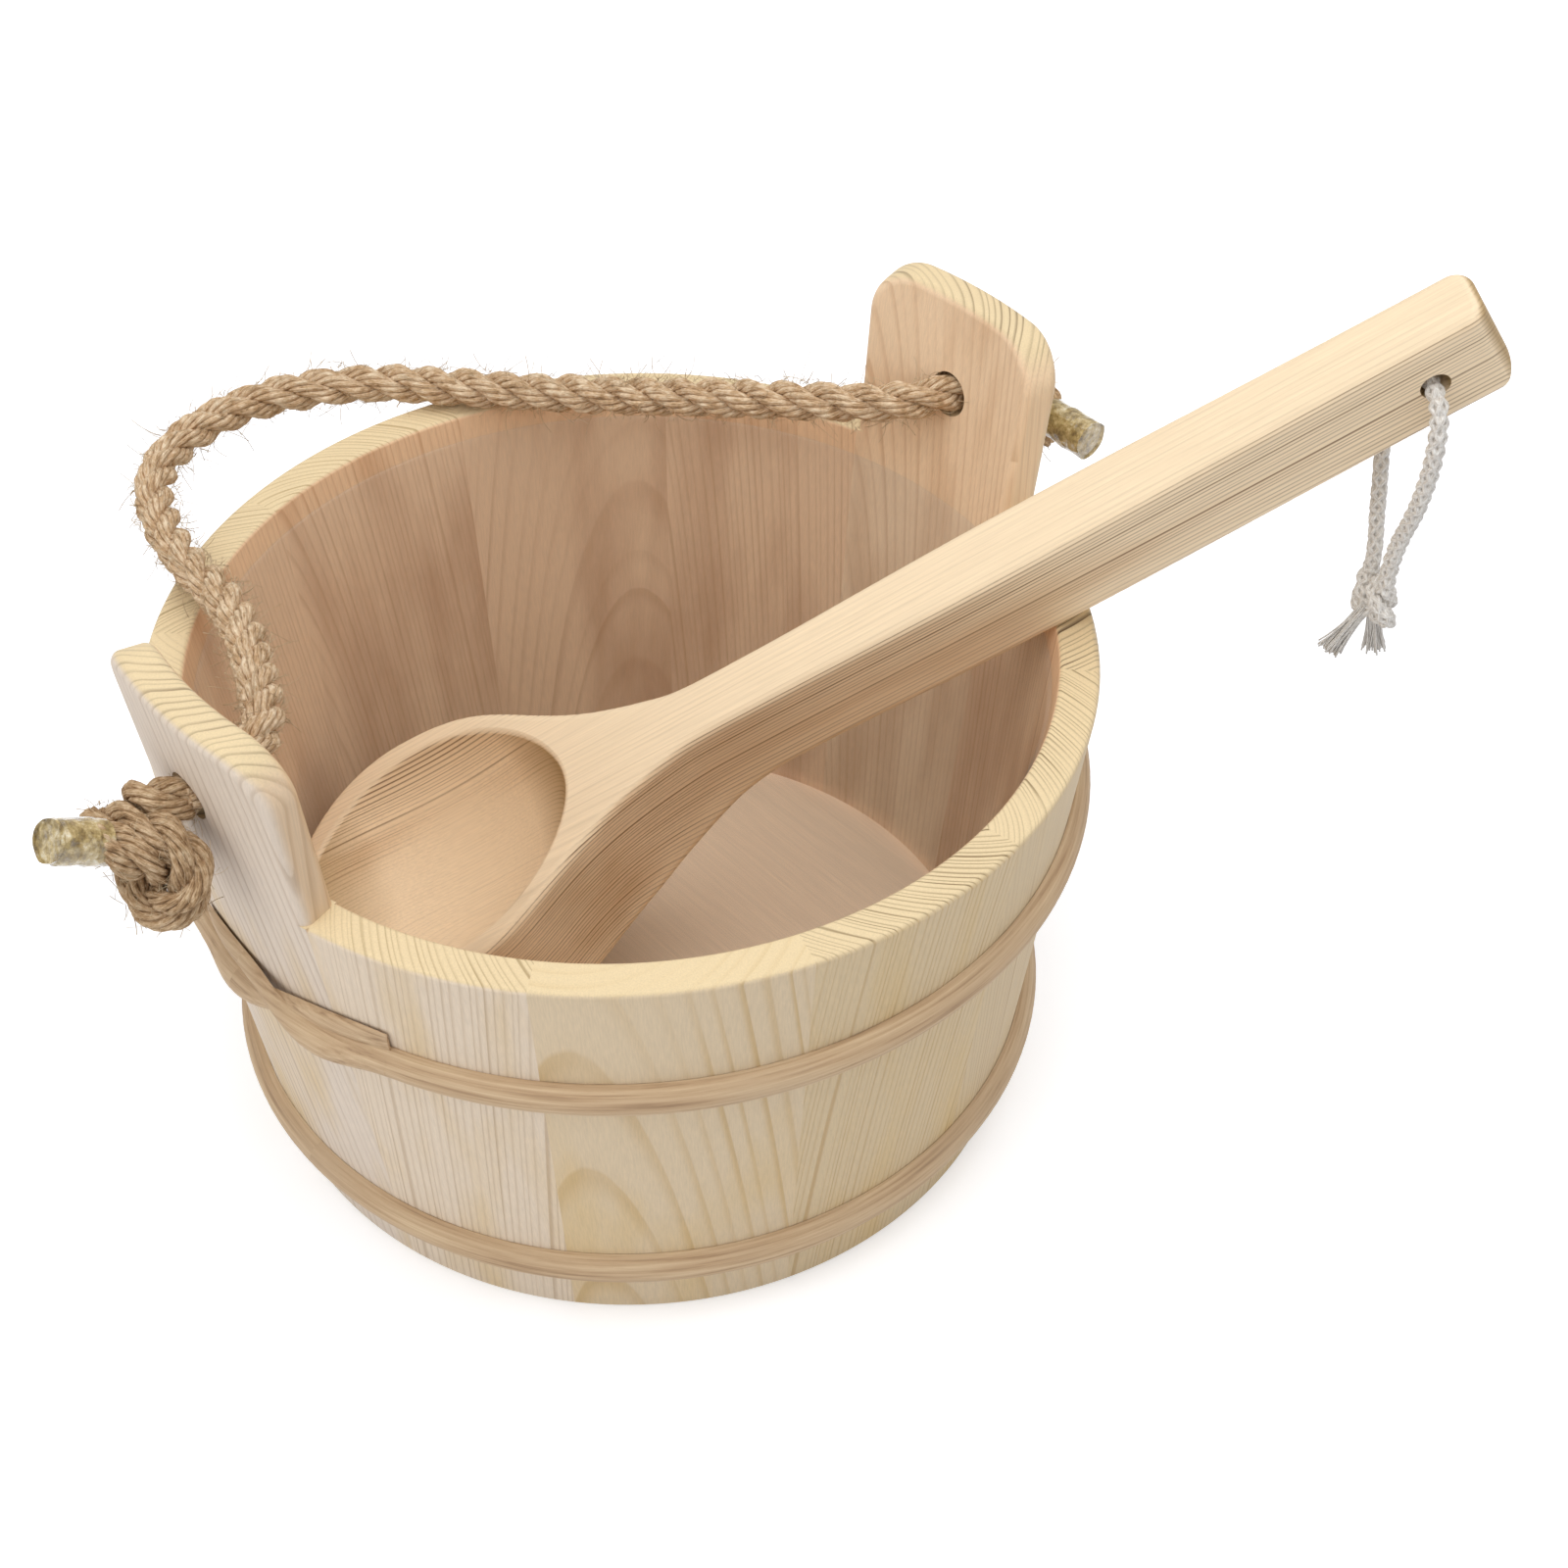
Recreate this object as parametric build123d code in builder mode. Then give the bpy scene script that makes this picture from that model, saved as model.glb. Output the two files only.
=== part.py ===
from build123d import *
import math
import os

# A coopered softwood pail with a rope handle, a clear liner and its ladle, in millimetres.
# The pail's axis is Z, it stands on Z = 0, and the rope goes through the ears along X.

# Pail
rim_diameter = 270.0
foot_diameter = 233.8
pail_height = 155.0
stave_thickness = 11.6
rim_round = 1.5
foot_chamfer = 1.2
ear_degrees = 30.0
# Widths of the plain staves from one ear to the other, as shares of that stretch.
front_stave_shares = (26, 31, 29, 32, 32)
back_stave_shares = (30, 31, 33, 28, 28)

# Ears, the two long staves that carry the rope
ear_rise = 57.0
ear_corner_radius = 16.0
ear_edge_round = 3.0
rope_hole_rise = 26.5
rope_hole_diameter = 14.0

# Base, edge-glued boards held in a groove round the foot, bevelled below to fit it
foot_recess = 4.0
base_bevel = 12.0
base_thickness = 8.0
groove_depth = 4.0
groove_clearance = 0.2
middle_board_width = 82.0

# Hoops, split saplings with a half-round outside and hooked ends
hoop_height = 10.0
hoop_thickness = 5.5
hoop_seat = 0.1
upper_hoop_drop = 43.5
lower_hoop_rise = 25.5
upper_lap_degrees = -173.0
lower_lap_degrees = 100.0
lap_half_degrees = 16.0
lap_bulge = 3.4
lap_tip_rise = 7.2
# The two hooked ends from root to tip: places as shares of half the lap, then standoff,
# rise, height and thickness as shares of the bulge, the tip rise and the hoop's section.
over_shares = (
    (1.00, 0.02, 0.00, 1.00, 1.00),
    (0.88, 0.12, -0.01, 1.00, 1.00),
    (0.75, 0.38, -0.03, 1.00, 1.00),
    (0.50, 0.90, -0.07, 1.00, 1.00),
    (0.25, 1.00, 0.02, 0.88, 0.90),
    (0.00, 0.80, 0.32, 0.66, 0.72),
    (-0.25, 0.34, 0.66, 0.62, 0.66),
    (-0.50, 0.18, 0.85, 0.72, 0.60),
    (-0.75, 0.17, 0.97, 0.85, 0.45),
    (-0.90, 0.18, 1.00, 0.87, 0.28),
    (-1.00, 0.20, 1.00, 0.86, 0.12),
)
under_shares = (
    (1.00, 0.02, 0.00, 1.00, 1.00),
    (0.88, 0.10, -0.01, 1.00, 1.00),
    (0.75, 0.32, -0.04, 1.00, 1.00),
    (0.50, 0.80, -0.08, 1.00, 1.00),
    (0.25, 0.80, 0.00, 0.90, 0.92),
    (0.00, 0.36, 0.24, 0.70, 0.75),
    (-0.25, 0.18, 0.60, 0.64, 0.62),
    (-0.50, 0.17, 0.83, 0.72, 0.56),
    (-0.75, 0.17, 0.95, 0.83, 0.42),
    (-0.90, 0.18, 0.98, 0.85, 0.27),
    (-1.00, 0.20, 0.98, 0.84, 0.14),
)

# Liner, a clear plastic cup
liner_thickness = 1.4
liner_gap = 0.5
liner_drop = 8.0
liner_corner_radius = 7.0

# Rope, with a knot outside each ear and a taped end beyond it
rope_diameter = 12.0
knot_gap = 0.3
knot_seat_radius = 9.0
knot_core_radius = 11.0
knot_drop = 8.5
knot_strand_diameter = 13.0
knot_loop_radius = 11.0
knot_loop_lean_degrees = 75.0
knot_upper_loop_radius = 9.5
knot_upper_loop_lift = 7.0
knot_upper_loop_lean_degrees = 40.0
knot_upper_loop_twist_degrees = 28.0
tape_diameter = 11.5
tape_end_round = 3.0
right_tail_reach = 19.0
right_tape_length = 18.0
left_tail_reach = 17.5
left_tape_length = 12.0
left_tail_degrees = 34.0

# Ladle, sawn from one plank, with a carved bowl. Its own X runs along the handle.
bowl_length = 98.4
bowl_width = 91.0
bowl_thickness = 42.1
handle_reach = 347.0
handle_width = 20.0
handle_swell = 22.2
handle_end_width = 19.6
handle_thickness = 32.7
handle_corner_radius = 6.0
handle_heel_radius = 11.0
neck_reach = 72.8
# Shape of the neck: how far along it, and how much of the flare is left there.
neck_shares = ((0.22, 0.88), (0.385, 0.57), (0.557, 0.26), (0.72, 0.073))
handle_swell_share = 0.24
heel_reach = 10.8
heel_length = 52.0
heel_blend = 60.0
ladle_edge_round = 3.0
underside_round = 4.0
bowl_side_wall = 7.6
bowl_tip_wall = 5.4
cavity_neck_reach = 6.4
cavity_depth = 27.0
cavity_edge_round = 1.8
hang_hole_diameter = 8.6
hang_hole_setback = 20.5
hang_hole_drop = 16.1

# How the ladle leans: its bowl on the liner's floor with its tip near the wall, its handle
# on the pail's inner edge
ladle_azimuth = -36.6
ladle_roll = 12.6
flattest_tilt = 10.0
steepest_tilt = 70.0
tilt_halvings = 50
bowl_tip_gap = 0.8
ladle_side_shift = -0.9
bowl_rest_gap = 0.3
handle_rest_gap = 0.6

# Hanging loop of the ladle, its knot and its two frayed ends
cord_diameter = 5.0
cord_sag = 1.3
cord_knot_width = 24.0
cord_knot_height = 16.0
cord_knot_top = 74.5
cord_knot_strand = 6.0
cord_knot_lean_degrees = 25.0
cord_end_length = 15.0
cord_end_diameter = 6.5
cord_end_lean_degrees = (32.0, -8.0)

overrun = 5.0

side_slope = (rim_diameter - foot_diameter) / 2 / pail_height
hole_height = pail_height + rope_hole_rise


def outer_radius(height):
    """Radius of the pail's outside at a height."""
    return foot_diameter / 2 + side_slope * height


def inner_radius(height):
    """Radius of the pail's wooden inside at a height."""
    return outer_radius(height) - stave_thickness


knot_seat = outer_radius(hole_height + knot_seat_radius) + knot_gap

# Rope route, from the right knot through its ear, over the back rim and round to the left knot
rope_route = [
    (knot_seat, 0.0, hole_height),
    (119.5, 0.0, 181.5),
    (100.0, 22.5, 179.0),
    (83.5, 52.5, 172.5),
    (63.0, 86.0, 165.5),
    (39.5, 118.5, 161.5),
    (13.5, 149.5, 161.0),
    (-24.0, 165.0, 161.2),
    (-63.5, 150.5, 163.0),
    (-79.0, 111.5, 164.5),
    (-81.5, 71.0, 167.5),
    (-95.5, 36.0, 174.0),
    (-114.5, 0.0, 181.5),
    (-knot_seat, 0.0, hole_height),
]

# Route of the hanging cord, as millimetres across the handle and down from the hole: up the
# near strand, through the hole and down the far strand.
cord_route = [
    (-5.2, cord_knot_top),
    (-5.2, 66.0),
    (-7.6, 54.5),
    (-12.2, 43.5),
    (-15.6, 32.0),
    (-17.2, 20.5),
    (-16.8, 9.6),
    (-13.0, 2.4),
    (0.0, 0.2),
    (13.2, -2.4),
    (17.0, 5.0),
    (18.0, 15.0),
    (17.3, 25.0),
    (13.3, 35.5),
    (10.2, 47.0),
    (8.0, 58.0),
    (5.2, 66.5),
    (5.2, cord_knot_top),
]


def radial_plane(degrees):
    """Upright plane through the pail's axis: its X runs outward, its Y up."""
    outward = Vector(1, 0, 0).rotate(Axis.Z, degrees)
    across = Vector(0, -1, 0).rotate(Axis.Z, degrees)
    return Plane(origin=(0, 0, 0), x_dir=outward, z_dir=across)


def save(piece, label):
    """Names a finished piece and writes it."""
    piece.label = label
    export_step(piece, "parts/" + label + ".step")
    print(label, round(piece.volume), "mm3")


os.makedirs("parts", exist_ok=True)


def stave_profile(top_round):
    """Section of a stave up to the rim, with the groove that holds the base."""
    groove_top = foot_recess + base_thickness
    groove_radius = inner_radius(foot_recess) + groove_depth
    with BuildSketch(Plane.XY) as profile:
        with BuildLine():
            Polyline(
                (inner_radius(0), 0),
                (outer_radius(0), 0),
                (outer_radius(pail_height), pail_height),
                (inner_radius(pail_height), pail_height),
                (inner_radius(groove_top), groove_top),
                (groove_radius, groove_top),
                (groove_radius, foot_recess),
                (inner_radius(foot_recess), foot_recess),
                close=True,
            )
        make_face()
        if top_round:
            fillet(profile.vertices().group_by(Axis.Y)[-1], radius=rim_round)
        chamfer(profile.vertices().group_by(Axis.Y)[0], length=foot_chamfer)
    return profile.sketch


def plain_stave(start_degrees, width_degrees):
    """One stave of the ring, tapered with the pail and bevelled at its joints."""
    with BuildPart() as stave:
        with BuildSketch(radial_plane(start_degrees)):
            add(stave_profile(True))
        revolve(axis=Axis.Z, revolution_arc=width_degrees)
    return stave.part


def ear_stave(centre_degrees):
    """A long stave whose top stands above the rim as an ear, drilled for the rope."""
    start = centre_degrees - ear_degrees / 2
    ear_top = pail_height + ear_rise
    outward = Vector(1, 0, 0).rotate(Axis.Z, centre_degrees)
    hole_start = outward * (inner_radius(hole_height) - overrun) + Vector(0, 0, hole_height)
    with BuildPart() as stave:
        with BuildSketch(radial_plane(start)):
            with BuildLine():
                Polyline(
                    (inner_radius(pail_height), pail_height),
                    (outer_radius(pail_height), pail_height),
                    (outer_radius(ear_top), ear_top),
                    (inner_radius(ear_top), ear_top),
                    close=True,
                )
            make_face()
        revolve(axis=Axis.Z, revolution_arc=ear_degrees)
        top = stave.faces().sort_by(Axis.Z)[-1]
        fillet(top.edges().filter_by(GeomType.LINE), radius=ear_corner_radius)
        bottom = stave.faces().sort_by(Axis.Z)[0]
        rims = stave.edges().filter_by(lambda edge: edge.length > 1.5 * stave_thickness)
        fillet(rims - bottom.edges(), radius=ear_edge_round)
        with BuildSketch(radial_plane(start)):
            add(stave_profile(False))
        revolve(axis=Axis.Z, revolution_arc=ear_degrees)
        with BuildSketch(Plane(origin=hole_start, z_dir=outward)):
            Circle(rope_hole_diameter / 2)
        extrude(amount=stave_thickness + 2 * overrun, mode=Mode.SUBTRACT)
    return stave.part


plain_span = 180 - ear_degrees
stave_number = 0
front_edge = -180 + ear_degrees / 2
back_edge = ear_degrees / 2
for edge_degrees, shares in ((front_edge, front_stave_shares), (back_edge, back_stave_shares)):
    for share in shares:
        width = plain_span * share / sum(shares)
        stave_number += 1
        save(plain_stave(edge_degrees, width), f"stave_{stave_number:02d}")
        edge_degrees += width

save(ear_stave(0), "ear_stave_right")
save(ear_stave(180), "ear_stave_left")


def base_board(label, left_edge, right_edge):
    """One board of the round base, between two straight glue joints."""
    radius = inner_radius(foot_recess) + groove_depth - groove_clearance
    board_top = foot_recess + base_thickness
    bevel_end = inner_radius(0) - base_bevel
    with BuildPart() as board:
        with BuildSketch(Plane.XZ):
            with BuildLine():
                Polyline(
                    (0, 0),
                    (bevel_end, 0),
                    (inner_radius(0) - groove_clearance, foot_recess),
                    (radius, foot_recess),
                    (radius, board_top),
                    (0, board_top),
                    close=True,
                )
            make_face()
        revolve(axis=Axis.Z)
        with BuildSketch():
            with Locations(((left_edge + right_edge) / 2, 0)):
                Rectangle(right_edge - left_edge, 2 * radius)
        extrude(amount=board_top, mode=Mode.INTERSECT)
    save(board.part, label)


board_edge = middle_board_width / 2
base_limit = outer_radius(0)
base_board("base_board_left", -base_limit, -board_edge)
base_board("base_board_middle", -board_edge, board_edge)
base_board("base_board_right", board_edge, base_limit)


def side_plane(degrees, height, standoff):
    """Upright plane across the pail's side: its X leaves the wood squarely, its Y climbs it."""
    lean = math.degrees(math.atan(side_slope))
    foot = Vector(outer_radius(height) + standoff, 0, height).rotate(Axis.Z, degrees)
    leaving = Vector(1, 0, 0).rotate(Axis.Y, lean).rotate(Axis.Z, degrees)
    across = Vector(0, -1, 0).rotate(Axis.Z, degrees)
    return Plane(origin=foot, x_dir=leaving, z_dir=across)


def hoop_section(height, thickness):
    """Half-round section of a hoop, its flat back to the staves."""
    with BuildSketch() as section:
        with BuildLine():
            Line((0, -height / 2), (0, height / 2))
            EllipticalCenterArc((0, 0), thickness, height / 2, start_angle=-90, arc_size=180)
        make_face()
    return section.sketch


def hoop(label, middle_height, lap_degrees):
    """A wooden hoop whose two ends hook past each other and tuck in behind."""
    with BuildPart() as ring:
        with BuildSketch(side_plane(lap_degrees + lap_half_degrees, middle_height, hoop_seat)):
            add(hoop_section(hoop_height, hoop_thickness))
        revolve(axis=Axis.Z, revolution_arc=360 - 2 * lap_half_degrees)
        for side, end_shares in ((1, over_shares), (-1, under_shares)):
            for along, standoff, rise, height, thickness in end_shares:
                place = side_plane(
                    lap_degrees + side * lap_half_degrees * along,
                    middle_height + lap_tip_rise * rise,
                    hoop_seat + lap_bulge * standoff,
                )
                with BuildSketch(place):
                    add(hoop_section(hoop_height * height, hoop_thickness * thickness))
            loft()
    save(ring.part, label)


hoop("upper_hoop", pail_height - upper_hoop_drop, upper_lap_degrees)
hoop("lower_hoop", lower_hoop_rise, lower_lap_degrees)

liner_bottom = foot_recess + base_thickness
liner_floor = liner_bottom + liner_thickness
liner_top = pail_height - liner_drop
with BuildPart() as liner:
    with BuildSketch(Plane.XZ) as cup:
        with BuildLine():
            Polyline(
                (0, liner_bottom),
                (inner_radius(liner_bottom) - liner_gap, liner_bottom),
                (inner_radius(liner_top) - liner_gap, liner_top),
                (inner_radius(liner_top) - liner_gap - liner_thickness, liner_top),
                (inner_radius(liner_floor) - liner_gap - liner_thickness, liner_floor),
                (0, liner_floor),
                close=True,
            )
        make_face()
        fillet(cup.vertices().group_by(Axis.Y)[-1], radius=liner_thickness / 3)
        outer_corner = cup.vertices().group_by(Axis.Y)[0].sort_by(Axis.X)[-1]
        fillet(outer_corner, radius=liner_corner_radius)
        inner_corner = cup.vertices().filter_by_position(
            Axis.Y, liner_floor - liner_gap, liner_floor + liner_gap
        ).sort_by(Axis.X)[-1]
        fillet(inner_corner, radius=liner_corner_radius - liner_thickness)
    revolve(axis=Axis.Z)
save(liner.part, "liner")


def corner_radii(label, points):
    """Radius of each bend in a cord's route: 0.45 of its shorter run over the half turn's tangent."""
    radii = []
    for before, corner, after in zip(points, points[1:], points[2:]):
        arriving = corner - before
        leaving = after - corner
        half_turn = math.radians(arriving.get_angle(leaving) / 2)
        radii.append(0.45 * min(arriving.length, leaving.length) / math.tan(half_turn))
    print(label, "bend radii", [round(radius, 1) for radius in radii])
    return radii


def cord_tube(label, points, diameter):
    """A round cord along its route, with a fair bend at each point."""
    points = [Vector(*point) for point in points]
    with BuildPart() as tube:
        with BuildLine() as path:
            FilletPolyline(*points, radius=corner_radii(label, points))
        with BuildSketch(Plane(origin=points[0], z_dir=points[1] - points[0])):
            Circle(diameter / 2)
        sweep()
    length = path.wire().length
    expected = math.pi * diameter**2 / 4 * length
    print(label, "length", round(length, 1), "section times length", round(expected))
    save(tube.part, label)


cord_tube("rope_handle", rope_route, rope_diameter)


def rope_knot(name, side, tail, tail_reach, tape_length):
    """The knot that stops the rope outside an ear, and the taped end that leaves it."""
    outward = Vector(side, 0, 0)
    seat = Vector(side * knot_seat, 0, hole_height)
    centre = seat + outward * knot_core_radius - Vector(0, 0, knot_drop)
    tape_start = centre + tail * tail_reach
    with BuildPart() as knot:
        with BuildSketch(Plane(origin=seat, z_dir=outward)):
            Circle(knot_seat_radius)
        extrude(amount=knot_core_radius)
        with Locations(centre):
            Sphere(knot_core_radius)
            Torus(
                knot_loop_radius,
                knot_strand_diameter / 2,
                rotation=(0, side * knot_loop_lean_degrees, 0),
            )
        with Locations(centre + Vector(0, 0, knot_upper_loop_lift)):
            Torus(
                knot_upper_loop_radius,
                knot_strand_diameter / 2,
                rotation=(
                    side * knot_upper_loop_twist_degrees,
                    side * knot_upper_loop_lean_degrees,
                    0,
                ),
            )
        with BuildSketch(Plane(origin=tape_start, z_dir=tail)):
            Circle(tape_diameter / 2)
        extrude(amount=-tail_reach)
        reach = knot_core_radius + knot_strand_diameter * 2
        with BuildSketch(Plane(origin=seat, x_dir=(0, 0, 1), z_dir=(0, -side, 0))):
            with BuildLine():
                Polyline(
                    (0, overrun * 2),
                    (0, 0),
                    (knot_seat_radius, 0),
                    (reach, -side_slope * (reach - knot_seat_radius)),
                    (reach, overrun * 2),
                    close=True,
                )
            make_face()
        revolve(axis=Axis(seat, (1, 0, 0)), mode=Mode.SUBTRACT)
    save(knot.part, "knot_" + name)
    with BuildPart() as tape:
        with BuildSketch(Plane(origin=tape_start, z_dir=tail)):
            Circle(tape_diameter / 2)
        extrude(amount=tape_length)
        far_end = tape.edges().sort_by(Axis(tape_start, tail))[-1]
        fillet(far_end, radius=tape_end_round)
    save(tape.part, "tape_end_" + name)


left_tail = Vector(-1, 0, 0).rotate(Axis.Y, left_tail_degrees)
rope_knot("right", 1, Vector(0, -1, 0), right_tail_reach, right_tape_length)
rope_knot("left", -1, left_tail, left_tail_reach, left_tape_length)

# The ladle's place: it leans as flat as its bowl's tip allows, its handle on the rim.
roll_cos = math.cos(math.radians(ladle_roll))
roll_sin = math.sin(math.radians(ladle_roll))


def ladle_rest(tilt):
    """Setback and height of the ladle's middle at a tilt, and how far its tip is from the liner."""
    tilt_cos = math.cos(math.radians(tilt))
    tilt_sin = math.sin(math.radians(tilt))
    low_point_reach = math.hypot(
        (bowl_length / 2 - underside_round) * tilt_sin,
        (bowl_width / 2 - underside_round) * roll_sin * tilt_cos,
    )
    bowl_drop = (bowl_thickness - underside_round) * roll_cos * tilt_cos
    height = liner_floor + bowl_rest_gap + bowl_drop + low_point_reach + underside_round
    edge_across = (handle_width + handle_swell) / 4 - underside_round
    edge_down = handle_thickness - underside_round
    edge_reach = edge_across * roll_sin + edge_down * roll_cos + underside_round
    rim_touch_height = pail_height - rim_round * (1 - tilt_cos) + handle_rest_gap / tilt_cos
    rim_touch_radius = inner_radius(pail_height) + rim_round * (1 - tilt_sin)
    rim_touch_along = (rim_touch_height - height + edge_reach * tilt_cos) / tilt_sin
    rim_touch_side = ladle_side_shift - edge_across * roll_cos + edge_down * roll_sin
    rim_touch_out = math.sqrt(rim_touch_radius**2 - rim_touch_side**2)
    setback = rim_touch_out - rim_touch_along * tilt_cos - edge_reach * tilt_sin
    tip_height = height - bowl_length / 2 * tilt_sin
    liner_radius = inner_radius(tip_height) - liner_gap - liner_thickness
    return setback, height, liner_radius + setback - bowl_length / 2 * tilt_cos


too_flat = flattest_tilt
ladle_tilt = steepest_tilt
for _ in range(tilt_halvings):
    tilt_between = (too_flat + ladle_tilt) / 2
    if ladle_rest(tilt_between)[-1] > bowl_tip_gap:
        ladle_tilt = tilt_between
    else:
        too_flat = tilt_between
tilt_cos = math.cos(math.radians(ladle_tilt))
tilt_sin = math.sin(math.radians(ladle_tilt))
ladle_setback, ladle_height, _ = ladle_rest(ladle_tilt)
print("ladle tilt", ladle_tilt)

ladle_plane = Plane(
    origin=Vector(ladle_setback, ladle_side_shift, ladle_height).rotate(Axis.Z, ladle_azimuth),
    x_dir=Vector(tilt_cos, 0, tilt_sin).rotate(Axis.Z, ladle_azimuth),
    z_dir=Vector(-roll_cos * tilt_sin, -roll_sin, roll_cos * tilt_cos).rotate(
        Axis.Z, ladle_azimuth
    ),
)
ladle_middle = Plane(
    origin=ladle_plane.origin, x_dir=ladle_plane.x_dir, z_dir=-ladle_plane.y_dir
)
ladle_along = Axis(ladle_plane.origin, ladle_plane.x_dir)
ladle_across = Axis(ladle_plane.origin, ladle_plane.y_dir)
ladle_up = Axis(ladle_plane.origin, ladle_plane.z_dir)
print("ladle origin", ladle_plane.origin)

half_bowl = bowl_width / 2
half_length = bowl_length / 2
half_handle = handle_width / 2
flare = half_bowl - half_handle
neck_length = half_length + neck_reach
heel_start = half_length + heel_reach
swell_along = neck_length + (handle_reach - neck_length) * handle_swell_share
neck_points = [(0, half_bowl)]
for along_share, flare_share in neck_shares:
    neck_points.append((neck_length * along_share, half_handle + flare * flare_share))
neck_points.append((neck_length, half_handle))

with BuildPart() as ladle:
    with BuildSketch(ladle_plane.offset(-bowl_thickness)) as outline:
        with BuildLine():
            EllipticalCenterArc((0, 0), bowl_length / 2, half_bowl, start_angle=90, arc_size=90)
            Spline(*neck_points, tangents=[(1, 0), (1, 0)])
            Spline(
                (neck_length, half_handle),
                (swell_along, handle_swell / 2),
                (handle_reach, handle_end_width / 2),
                tangents=[(1, 0), (1, 0)],
            )
            Line((handle_reach, handle_end_width / 2), (handle_reach, 0))
            mirror(about=Plane.XZ)
        make_face()
        fillet(outline.vertices().group_by(Axis.X)[-1], radius=handle_corner_radius)
    extrude(amount=bowl_thickness)
    with BuildSketch(ladle_middle) as elevation:
        with BuildLine():
            Polyline(
                (-bowl_length, 0),
                (-bowl_length, -bowl_thickness),
                (heel_start, -bowl_thickness),
                (heel_start + heel_length, -handle_thickness),
                (handle_reach, -handle_thickness),
                (handle_reach, 0),
                close=True,
            )
        make_face()
        fillet(elevation.vertices().sort_by(Axis.X)[2:4], radius=heel_blend)
    extrude(amount=bowl_width, both=True, mode=Mode.INTERSECT)
    fillet(ladle.faces().sort_by(ladle_up)[-1].edges(), radius=ladle_edge_round)
    long_edges = ladle.edges() - ladle.edges().filter_by(ladle_up)
    long_edges = long_edges - ladle.edges().filter_by(ladle_across)
    under_edges = long_edges.filter_by(
        lambda edge: ladle_plane.to_local_coords(edge.center()).Z < -handle_thickness / 2
    )
    fillet(under_edges, radius=underside_round)
    with BuildSketch(ladle_middle):
        with Locations((handle_reach - handle_heel_radius, handle_heel_radius - handle_thickness)):
            Rectangle(
                handle_heel_radius + overrun,
                handle_heel_radius + overrun,
                align=(Align.MIN, Align.MAX),
            )
            Circle(handle_heel_radius, mode=Mode.SUBTRACT)
    extrude(amount=bowl_width, both=True, mode=Mode.SUBTRACT)
    with BuildSketch(ladle_middle):
        half_cavity = bowl_width / 2 - bowl_side_wall
        arc_lift = (half_cavity**2 + cavity_depth**2) / (2 * cavity_depth) - cavity_depth
        near_end = bowl_tip_wall - bowl_length / 2
        far_end = bowl_length / 2 + cavity_neck_reach
        with BuildLine():
            ThreePointArc((near_end, 0), ((near_end + far_end) / 2, -cavity_depth), (far_end, 0))
            Polyline((far_end, 0), (far_end, arc_lift), (near_end, arc_lift), (near_end, 0))
        make_face()
    cavity_axis = Axis(ladle_plane.offset(arc_lift).origin, ladle_plane.x_dir)
    revolve(axis=cavity_axis, mode=Mode.SUBTRACT)
    top_face = ladle.faces().filter_by(ladle_up).sort_by(ladle_up)[-1]
    fillet(top_face.inner_wires()[0].edges(), radius=cavity_edge_round)
    with BuildSketch(ladle_middle):
        with Locations((handle_reach - hang_hole_setback, -hang_hole_drop)):
            Circle(hang_hole_diameter / 2)
    extrude(amount=bowl_width, both=True, mode=Mode.SUBTRACT)
save(ladle.part, "ladle")

# The cord lies in the bottom of its hole and hangs plumb below it.
hole_centre = ladle_plane.from_local_coords((handle_reach - hang_hole_setback, 0, -hang_hole_drop))
plumb = Vector(0, 0, -1)
sag = (plumb - ladle_plane.y_dir * plumb.dot(ladle_plane.y_dir)).normalized() * cord_sag
hang_point = hole_centre + sag
hang_across = Vector(ladle_plane.y_dir.X, ladle_plane.y_dir.Y, 0).normalized()
print("hang point", hang_point, "axis", ladle_plane.y_dir)


def hang_place(across, down):
    """A place in the loop's upright plane."""
    return hang_point + hang_across * across + plumb * down


cord_tube("hang_cord", [hang_place(across, down) for across, down in cord_route], cord_diameter)

# The knot's flat top lies a third of its height above its middle.
knot_middle = hang_place(0, cord_knot_top + cord_knot_height / 3)
with BuildPart() as cord_knot:
    with BuildSketch(Plane(origin=knot_middle, x_dir=hang_across, z_dir=hang_across.cross(plumb))):
        with BuildLine():
            Spline(
                (cord_knot_width / 2, 0),
                (0, cord_knot_height / 2),
                (-cord_knot_width / 2, 0),
                tangents=[(0, 1), (0, -1)],
            )
            Line((-cord_knot_width / 2, 0), (cord_knot_width / 2, 0))
        make_face()
    revolve(axis=Axis(knot_middle, hang_across))
    with Locations(knot_middle):
        Torus(
            cord_knot_height / 2,
            cord_knot_strand / 2,
            rotation=(cord_knot_lean_degrees, cord_knot_lean_degrees / 2, 0),
        )
    for lean in cord_end_lean_degrees:
        swing = plumb.rotate(Axis((0, 0, 0), hang_across), lean)
        with BuildSketch(Plane(origin=knot_middle, z_dir=swing)):
            Circle(cord_end_diameter / 2)
        extrude(amount=cord_knot_height / 2 + cord_end_length)
    with BuildSketch(Plane(origin=hang_place(0, cord_knot_top), z_dir=-plumb)):
        Circle(cord_knot_width)
    extrude(amount=cord_knot_height, mode=Mode.SUBTRACT)
save(cord_knot.part, "hang_cord_knot")
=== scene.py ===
# A coopered softwood pail with a rope handle, a clear liner and its ladle, seen from above
# its front left side. Lengths are in metres unless a name or a comment says millimetres.
import math
import random

import bpy
from mathutils import Matrix, Vector, noise


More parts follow.
